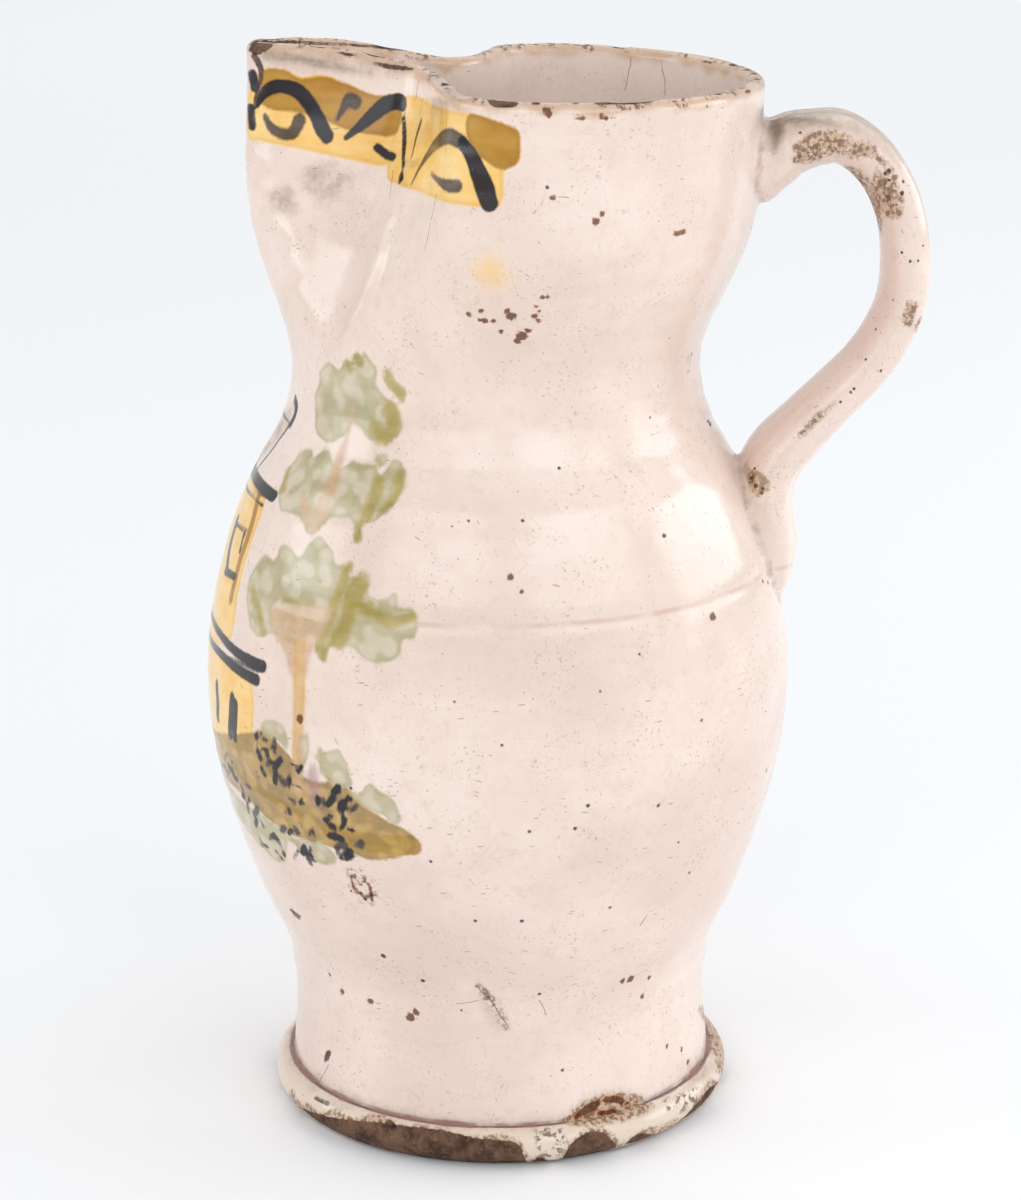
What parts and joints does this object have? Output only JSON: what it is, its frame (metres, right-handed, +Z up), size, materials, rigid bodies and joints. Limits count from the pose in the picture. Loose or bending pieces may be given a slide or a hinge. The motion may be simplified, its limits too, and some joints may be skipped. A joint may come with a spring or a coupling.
{
  "type": "jug",
  "caption": "Waisted tin-glazed earthenware jug with a pinched spout, strap handle and thick round foot, painted with folk landscape ornament.",
  "frame": {"origin": "centre of the flat sole of the foot disc, on the surface the jug stands on", "axes": "+Z up along the thrown body's axis; +X towards the handle; the spout points along -X"},
  "size_m": [0.1703, 0.1394, 0.2567],
  "materials": {
    "tin_glazed_earthenware": "glossy crazed tin glaze, pinkish cream, with brushed oxide painting and worn edges"
  },
  "bodies": {
    "root": {"jug": "tin_glazed_earthenware"}
  },
  "joints": []
}
